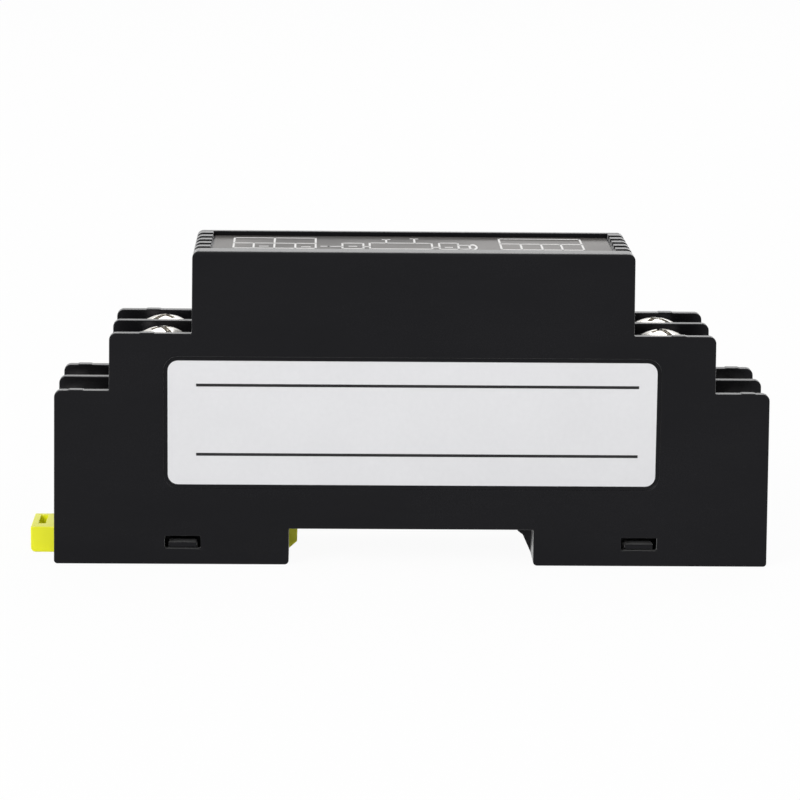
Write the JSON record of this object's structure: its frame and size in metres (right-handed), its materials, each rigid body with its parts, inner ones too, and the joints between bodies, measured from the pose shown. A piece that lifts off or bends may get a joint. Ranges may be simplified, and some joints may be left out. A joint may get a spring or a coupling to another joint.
{
  "type": "signal isolator",
  "caption": "Narrow rail-mounted signal isolator: two-tier moulded housing with screw terminals at both ends, snap-in top cover, rating label and sliding rail foot.",
  "frame": {"origin": "middle of the rail seat: on the roof of the rail notch, midway along the module and midway through its thickness", "axes": "+X along the module toward the fixed hook, +Y through its thickness toward the back, away from the rating label, +Z away from the rail toward the top cover"},
  "size_m": [0.1089, 0.0226, 0.0465],
  "materials": {
    "housing": "satin moulded black",
    "rail_foot": "satin moulded yellow-green",
    "label_white": "satin white film with black rules",
    "label_black": "glossy black film with white lines",
    "contact_tin": "tinned",
    "clamp_steel": "zinc plated",
    "screw_steel": "nickel plated",
    "board": "green solder resist",
    "ferrite": "dark sintered",
    "bobbin": "black moulded",
    "copper": "enamelled copper wire",
    "capacitor": "bright can on a black base",
    "coupler": "white moulded",
    "chip": "black moulded, tinned leads",
    "trimmer": "blue moulded",
    "brass_screw": "turned",
    "light": "green diffusing lens"
  },
  "bodies": {
    "housing": {"base_shell": "housing", "side_cover": "housing", "top_cover": "housing", "rating_label": "label_white", "top_label": "label_black", "contact_upper_left_front": "contact_tin", "contact_upper_left_back": "contact_tin", "contact_upper_right_front": "contact_tin", "contact_upper_right_back": "contact_tin", "contact_lower_left_front": "contact_tin", "contact_lower_left_back": "contact_tin", "contact_lower_right_front": "contact_tin", "contact_lower_right_back": "contact_tin", "circuit_board": "board", "transformer_core": "ferrite", "transformer_bobbin": "bobbin", "transformer_winding": "copper", "input_capacitor": "capacitor", "output_capacitor": "capacitor", "choke_core": "ferrite", "choke_winding": "copper", "optocoupler": "coupler", "amplifier_chip": "chip", "regulator_chip": "chip", "rectifier_diodes": "chip", "chip_resistors": "chip", "zero_trimmer": "trimmer", "span_trimmer": "trimmer", "power_light": "light"},
    "foot": {"rail_foot": "rail_foot"},
    "clamp_upper_left_front": {"clamp_upper_left_front": "clamp_steel"},
    "screw_upper_left_front": {"screw_upper_left_front": "screw_steel"},
    "clamp_upper_left_back": {"clamp_upper_left_back": "clamp_steel"},
    "screw_upper_left_back": {"screw_upper_left_back": "screw_steel"},
    "clamp_upper_right_front": {"clamp_upper_right_front": "clamp_steel"},
    "screw_upper_right_front": {"screw_upper_right_front": "screw_steel"},
    "clamp_upper_right_back": {"clamp_upper_right_back": "clamp_steel"},
    "screw_upper_right_back": {"screw_upper_right_back": "screw_steel"},
    "clamp_lower_left_front": {"clamp_lower_left_front": "clamp_steel"},
    "screw_lower_left_front": {"screw_lower_left_front": "screw_steel"},
    "clamp_lower_left_back": {"clamp_lower_left_back": "clamp_steel"},
    "screw_lower_left_back": {"screw_lower_left_back": "screw_steel"},
    "clamp_lower_right_front": {"clamp_lower_right_front": "clamp_steel"},
    "screw_lower_right_front": {"screw_lower_right_front": "screw_steel"},
    "clamp_lower_right_back": {"clamp_lower_right_back": "clamp_steel"},
    "screw_lower_right_back": {"screw_lower_right_back": "screw_steel"},
    "zero_adjuster": {"zero_trimmer_screw": "brass_screw"},
    "span_adjuster": {"span_trimmer_screw": "brass_screw"}
  },
  "joints": [
    {"name": "foot_slide", "type": "slide", "parent": "housing", "child": "foot", "axis": [-1, 0, 0], "range_m": [0, 0.0035]},
    {"name": "clamp_slide_upper_left_front", "type": "slide", "parent": "housing", "child": "clamp_upper_left_front", "axis": [0, 0, 1], "range_m": [0, 0.002]},
    {"name": "screw_turn_upper_left_front", "type": "hinge", "parent": "clamp_upper_left_front", "child": "screw_upper_left_front", "pos_m": [-0.03675, -0.00525, 0.029], "axis": [0, 0, 1], "range_deg": [0, 1206]},
    {"name": "clamp_slide_upper_left_back", "type": "slide", "parent": "housing", "child": "clamp_upper_left_back", "axis": [0, 0, 1], "range_m": [0, 0.002]},
    {"name": "screw_turn_upper_left_back", "type": "hinge", "parent": "clamp_upper_left_back", "child": "screw_upper_left_back", "pos_m": [-0.03675, 0.00525, 0.029], "axis": [0, 0, 1], "range_deg": [0, 1206]},
    {"name": "clamp_slide_upper_right_front", "type": "slide", "parent": "housing", "child": "clamp_upper_right_front", "axis": [0, 0, 1], "range_m": [0, 0.002]},
    {"name": "screw_turn_upper_right_front", "type": "hinge", "parent": "clamp_upper_right_front", "child": "screw_upper_right_front", "pos_m": [0.03675, -0.00525, 0.029], "axis": [0, 0, 1], "range_deg": [0, 1206]},
    {"name": "clamp_slide_upper_right_back", "type": "slide", "parent": "housing", "child": "clamp_upper_right_back", "axis": [0, 0, 1], "range_m": [0, 0.002]},
    {"name": "screw_turn_upper_right_back", "type": "hinge", "parent": "clamp_upper_right_back", "child": "screw_upper_right_back", "pos_m": [0.03675, 0.00525, 0.029], "axis": [0, 0, 1], "range_deg": [0, 1206]},
    {"name": "clamp_slide_lower_left_front", "type": "slide", "parent": "housing", "child": "clamp_lower_left_front", "axis": [0, 0, 1], "range_m": [0, 0.002]},
    {"name": "screw_turn_lower_left_front", "type": "hinge", "parent": "clamp_lower_left_front", "child": "screw_lower_left_front", "pos_m": [-0.0488, -0.00525, 0.019], "axis": [0, 0, 1], "range_deg": [0, 1206]},
    {"name": "clamp_slide_lower_left_back", "type": "slide", "parent": "housing", "child": "clamp_lower_left_back", "axis": [0, 0, 1], "range_m": [0, 0.002]},
    {"name": "screw_turn_lower_left_back", "type": "hinge", "parent": "clamp_lower_left_back", "child": "screw_lower_left_back", "pos_m": [-0.0488, 0.00525, 0.019], "axis": [0, 0, 1], "range_deg": [0, 1206]},
    {"name": "clamp_slide_lower_right_front", "type": "slide", "parent": "housing", "child": "clamp_lower_right_front", "axis": [0, 0, 1], "range_m": [0, 0.002]},
    {"name": "screw_turn_lower_right_front", "type": "hinge", "parent": "clamp_lower_right_front", "child": "screw_lower_right_front", "pos_m": [0.0488, -0.00525, 0.019], "axis": [0, 0, 1], "range_deg": [0, 1206]},
    {"name": "clamp_slide_lower_right_back", "type": "slide", "parent": "housing", "child": "clamp_lower_right_back", "axis": [0, 0, 1], "range_m": [0, 0.002]},
    {"name": "screw_turn_lower_right_back", "type": "hinge", "parent": "clamp_lower_right_back", "child": "screw_lower_right_back", "pos_m": [0.0488, 0.00525, 0.019], "axis": [0, 0, 1], "range_deg": [0, 1206]},
    {"name": "zero_adjust", "type": "hinge", "parent": "housing", "child": "zero_adjuster", "pos_m": [-0.01682, -0.0031, 0.0366], "axis": [0, 0, 1], "continuous": true},
    {"name": "span_adjust", "type": "hinge", "parent": "housing", "child": "span_adjuster", "pos_m": [0.01682, -0.0031, 0.0366], "axis": [0, 0, 1], "continuous": true}
  ],
  "couplings": [
    {"joint": "screw_turn_upper_left_front", "follows": "clamp_slide_upper_left_front", "rad_per_m": 10472},
    {"joint": "screw_turn_upper_left_back", "follows": "clamp_slide_upper_left_back", "rad_per_m": 10472},
    {"joint": "screw_turn_upper_right_front", "follows": "clamp_slide_upper_right_front", "rad_per_m": 10472},
    {"joint": "screw_turn_upper_right_back", "follows": "clamp_slide_upper_right_back", "rad_per_m": 10472},
    {"joint": "screw_turn_lower_left_front", "follows": "clamp_slide_lower_left_front", "rad_per_m": 10472},
    {"joint": "screw_turn_lower_left_back", "follows": "clamp_slide_lower_left_back", "rad_per_m": 10472},
    {"joint": "screw_turn_lower_right_front", "follows": "clamp_slide_lower_right_front", "rad_per_m": 10472},
    {"joint": "screw_turn_lower_right_back", "follows": "clamp_slide_lower_right_back", "rad_per_m": 10472}
  ]
}
